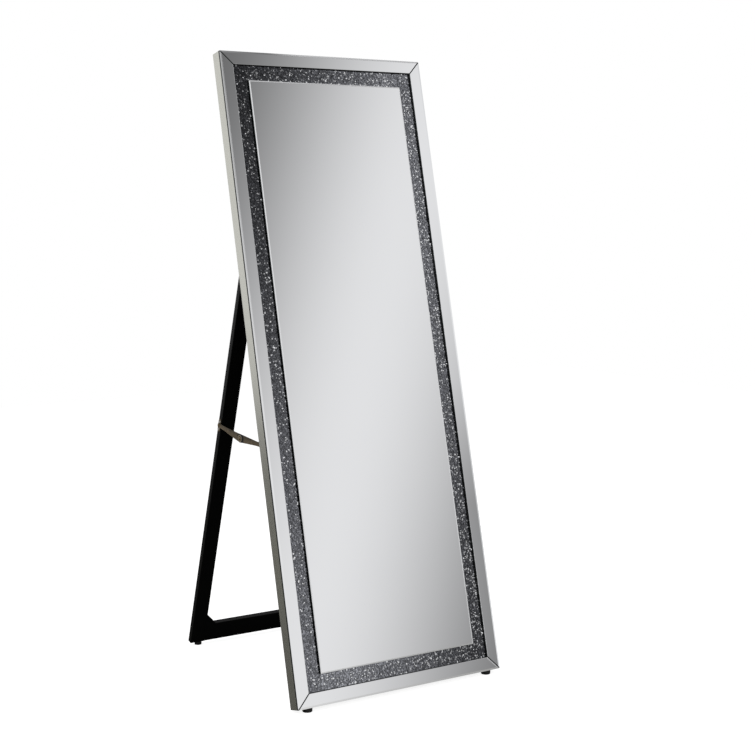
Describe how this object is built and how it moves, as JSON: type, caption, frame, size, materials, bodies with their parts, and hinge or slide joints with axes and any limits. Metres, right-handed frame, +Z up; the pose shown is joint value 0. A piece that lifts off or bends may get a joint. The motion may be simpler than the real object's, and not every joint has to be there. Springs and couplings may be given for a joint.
{
  "type": "floor mirror",
  "caption": "Free-standing full-length floor mirror with a mirrored and crushed crystal border, a black folding back stand and brass folding stays.",
  "frame": {"origin": "On the floor, in the middle of the bounding box of the whole object with its stand open.", "axes": "+Z is up. The mirror faces -Y and leans back towards +Y, where the stand is. +X is to the right of someone who looks into the mirror."},
  "size_m": [0.6, 0.662, 1.5695],
  "materials": {
    "panel_paint": "champagne-silver satin lacquer over wood",
    "board": "fibreboard, matt black",
    "mirror": "silvered glass, ground and polished bevels",
    "crystal": "crushed clear crystal over a dark ground",
    "stand_paint": "satin black paint over wood",
    "dowel": "plain beech",
    "foot": "matt black",
    "hinge": "dull nickel",
    "stay": "antiqued, satin",
    "screw": "zinc"
  },
  "bodies": {
    "panel": {"rail_left": "panel_paint", "rail_right": "panel_paint", "rail_top": "panel_paint", "rail_bottom": "panel_paint", "core_board": "board", "back_board": "board", "mirror_pad": "board", "back_board_screws": "screw", "strip_left": "mirror", "strip_right": "mirror", "strip_top": "mirror", "strip_bottom": "mirror", "centre_mirror": "mirror", "crystals_left": "crystal", "crystals_right": "crystal", "crystals_top": "crystal", "crystals_bottom": "crystal", "panel_foot_left": "foot", "panel_foot_right": "foot", "panel_leaf_left": "hinge", "panel_leaf_right": "hinge", "hinge_pin_left": "hinge", "hinge_pin_right": "hinge", "panel_leaf_screws": "screw", "panel_bracket_left": "stay", "panel_bracket_right": "stay", "panel_bracket_screws": "screw", "panel_rivets": "stay"},
    "stand": {"leg_left": "stand_paint", "leg_right": "stand_paint", "stand_rail_top": "stand_paint", "stand_rail_bottom": "stand_paint", "gusset_left": "stand_paint", "gusset_right": "stand_paint", "stand_dowels": "dowel", "stand_foot_left": "foot", "stand_foot_right": "foot", "stand_leaf_left": "hinge", "stand_leaf_right": "hinge", "stand_leaf_screws": "screw", "leg_plate_left": "stay", "leg_plate_right": "stay", "leg_plate_screws": "screw", "leg_rivets": "stay"},
    "rear_arm_left": {"rear_arm_left": "stay", "rear_knuckle_rivet_left": "stay"},
    "rear_arm_right": {"rear_arm_right": "stay", "rear_knuckle_rivet_right": "stay"},
    "front_arm_left": {"front_arm_left": "stay", "front_knuckle_rivet_left": "stay"},
    "front_arm_right": {"front_arm_right": "stay", "front_knuckle_rivet_right": "stay"}
  },
  "joints": [
    {"name": "stand_fold", "type": "hinge", "parent": "panel", "child": "stand", "pos_m": [0, -0.02424, 1.13957], "axis": [-1, 0, 0], "range_deg": [0, 29.5]},
    {"name": "rear_arm_left_turn", "type": "hinge", "parent": "stand", "child": "rear_arm_left", "pos_m": [-0.2523, 0.14052, 0.62361], "axis": [-1, 0, 0], "range_deg": [-101, 0]},
    {"name": "front_arm_left_turn", "type": "hinge", "parent": "panel", "child": "front_arm_left", "pos_m": [-0.2814, -0.14002, 0.61046], "axis": [-1, 0, 0], "range_deg": [0, 101]},
    {"name": "rear_arm_right_turn", "type": "hinge", "parent": "stand", "child": "rear_arm_right", "pos_m": [0.2523, 0.14052, 0.62361], "axis": [-1, 0, 0], "range_deg": [-101, 0]},
    {"name": "front_arm_right_turn", "type": "hinge", "parent": "panel", "child": "front_arm_right", "pos_m": [0.2814, -0.14002, 0.61046], "axis": [-1, 0, 0], "range_deg": [0, 101]}
  ],
  "couplings": [
    {"joint": "rear_arm_left_turn", "follows": "stand_fold", "ratio": -3.4043},
    {"joint": "front_arm_left_turn", "follows": "stand_fold", "ratio": 3.4043},
    {"joint": "rear_arm_right_turn", "follows": "stand_fold", "ratio": -3.4043},
    {"joint": "front_arm_right_turn", "follows": "stand_fold", "ratio": 3.4043}
  ]
}
